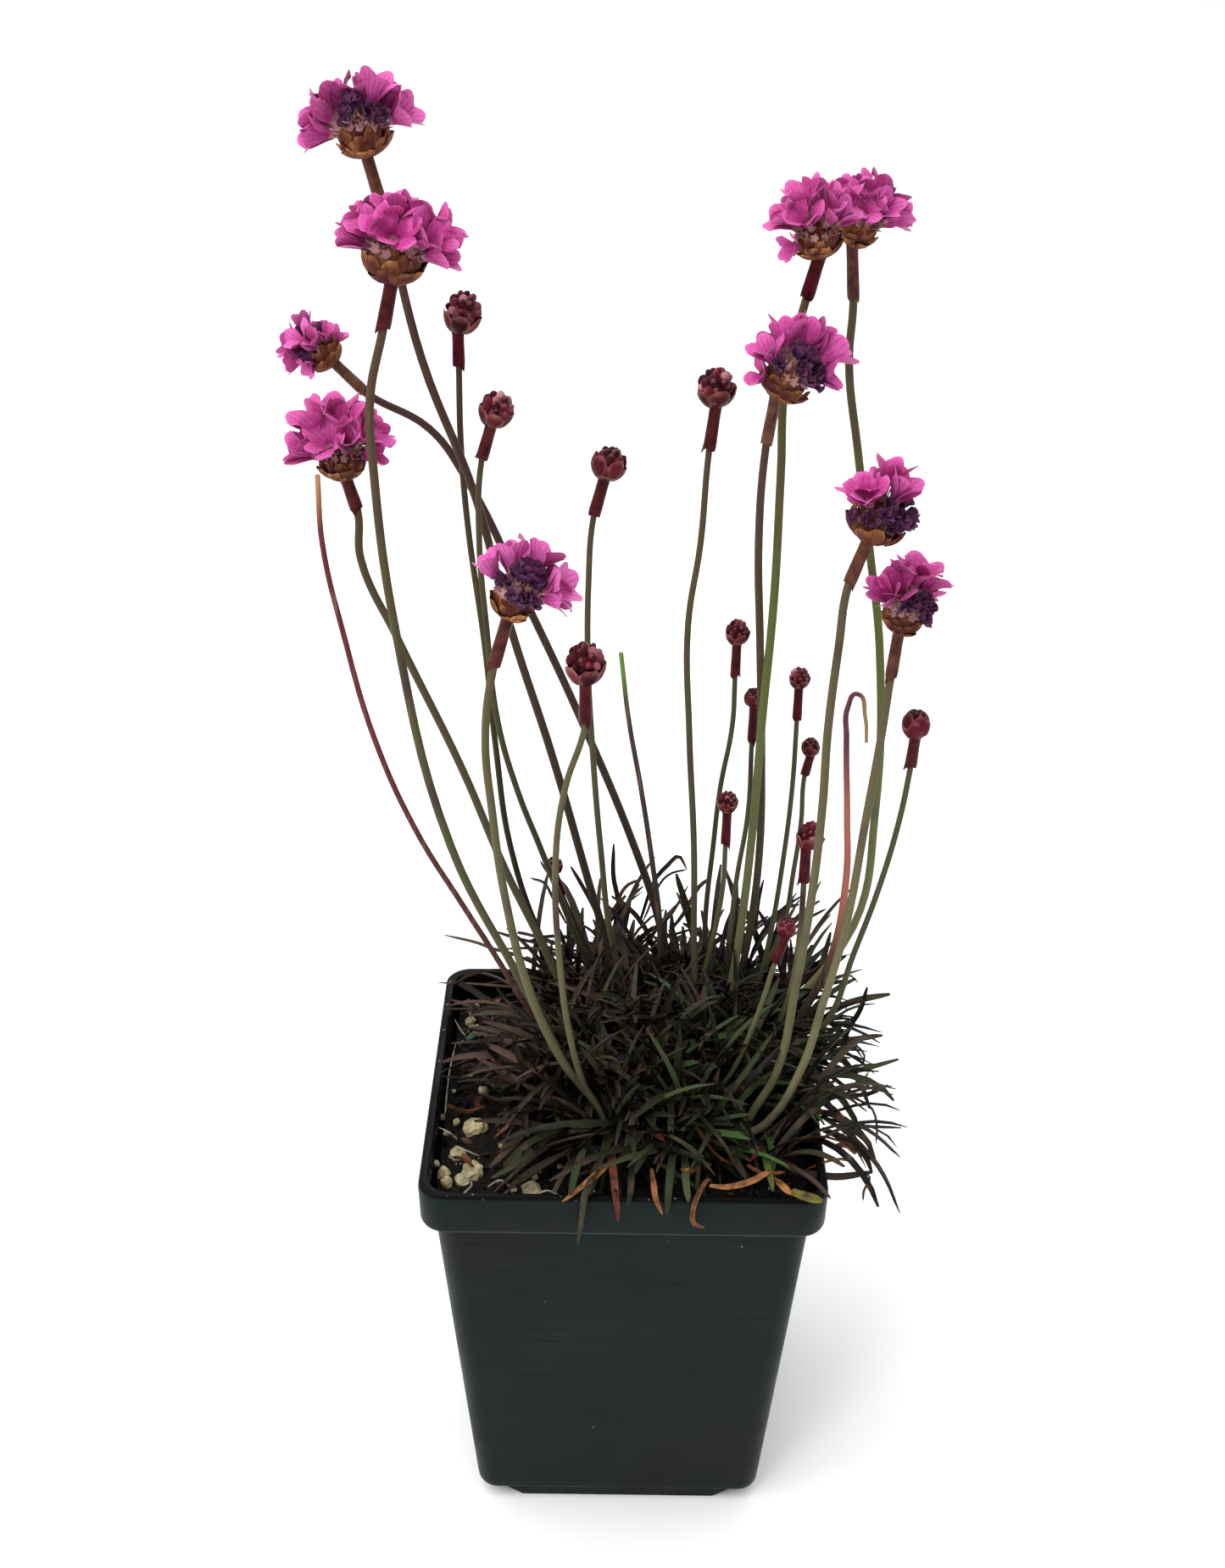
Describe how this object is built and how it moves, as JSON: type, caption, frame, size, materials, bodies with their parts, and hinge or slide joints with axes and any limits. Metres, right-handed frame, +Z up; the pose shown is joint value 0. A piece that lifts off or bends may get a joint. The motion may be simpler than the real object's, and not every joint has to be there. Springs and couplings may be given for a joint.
{
  "type": "potted sea thrift with dark leaves",
  "caption": "Dark-leaved sea thrift in bloom: pink heads and maroon buds on wiry stalks over a grassy leaf cushion, in a square plastic nursery pot of soil",
  "frame": {"origin": "the middle of the flat foot that the pot stands on", "axes": "+Z up along the pot's axis and the plant's height; +X to the right and -Y towards the viewer of the pot's front; the pot's sides face along X and Y"},
  "size_m": [0.1387, 0.1046, 0.3236],
  "materials": {
    "pot_plastic": "satin moulded polypropylene, black with a green cast",
    "soil_mix": "damp bark and peat, matt",
    "perlite": "rough cream lumps, matt",
    "leaf": "dark green to wine-brown leaf, slightly waxy",
    "stalk": "smooth olive stalk, soft sheen",
    "dry_stalk": "dry red-brown stalk, matt",
    "bud": "papery maroon bracts, soft sheen",
    "petal": "soft pink petal, matt with a light sheen"
  },
  "bodies": {
    "root": {"pot": "pot_plastic", "soil": "soil_mix", "perlite_1": "perlite", "perlite_2": "perlite", "perlite_3": "perlite", "perlite_4": "perlite", "perlite_5": "perlite", "leaf_tuft": "leaf", "flower_1_stalk": "stalk", "flower_1_florets": "petal", "flower_2_stalk": "stalk", "flower_2_florets": "petal", "flower_3_stalk": "stalk", "flower_3_florets": "petal", "flower_4_stalk": "stalk", "flower_4_florets": "petal", "flower_5_stalk": "stalk", "flower_5_florets": "petal", "flower_6_stalk": "stalk", "flower_6_florets": "petal", "flower_7_stalk": "stalk", "flower_7_florets": "petal", "flower_8_stalk": "stalk", "flower_8_florets": "petal", "flower_9_stalk": "stalk", "flower_9_florets": "petal", "flower_10_stalk": "stalk", "flower_10_florets": "petal", "bud_1_stem": "stalk", "bud_1_head": "bud", "bud_2_stem": "stalk", "bud_2_head": "bud", "bud_3_stem": "stalk", "bud_3_head": "bud", "bud_4_stem": "stalk", "bud_4_head": "bud", "bud_5_stem": "stalk", "bud_5_head": "bud", "bud_6_stem": "stalk", "bud_6_head": "bud", "bud_7_stem": "stalk", "bud_7_head": "bud", "bud_8_stem": "stalk", "bud_8_head": "bud", "bud_9_stem": "stalk", "bud_9_head": "bud", "bud_10_stem": "stalk", "bud_10_head": "bud", "bud_11_stem": "stalk", "bud_11_head": "bud", "bud_12_stem": "stalk", "bud_12_head": "bud", "bud_13_stem": "stalk", "bud_13_head": "bud", "bud_14_stem": "stalk", "bud_14_head": "bud", "bare_scape_1": "dry_stalk", "bare_scape_2": "stalk", "curled_scape": "dry_stalk"}
  },
  "joints": []
}
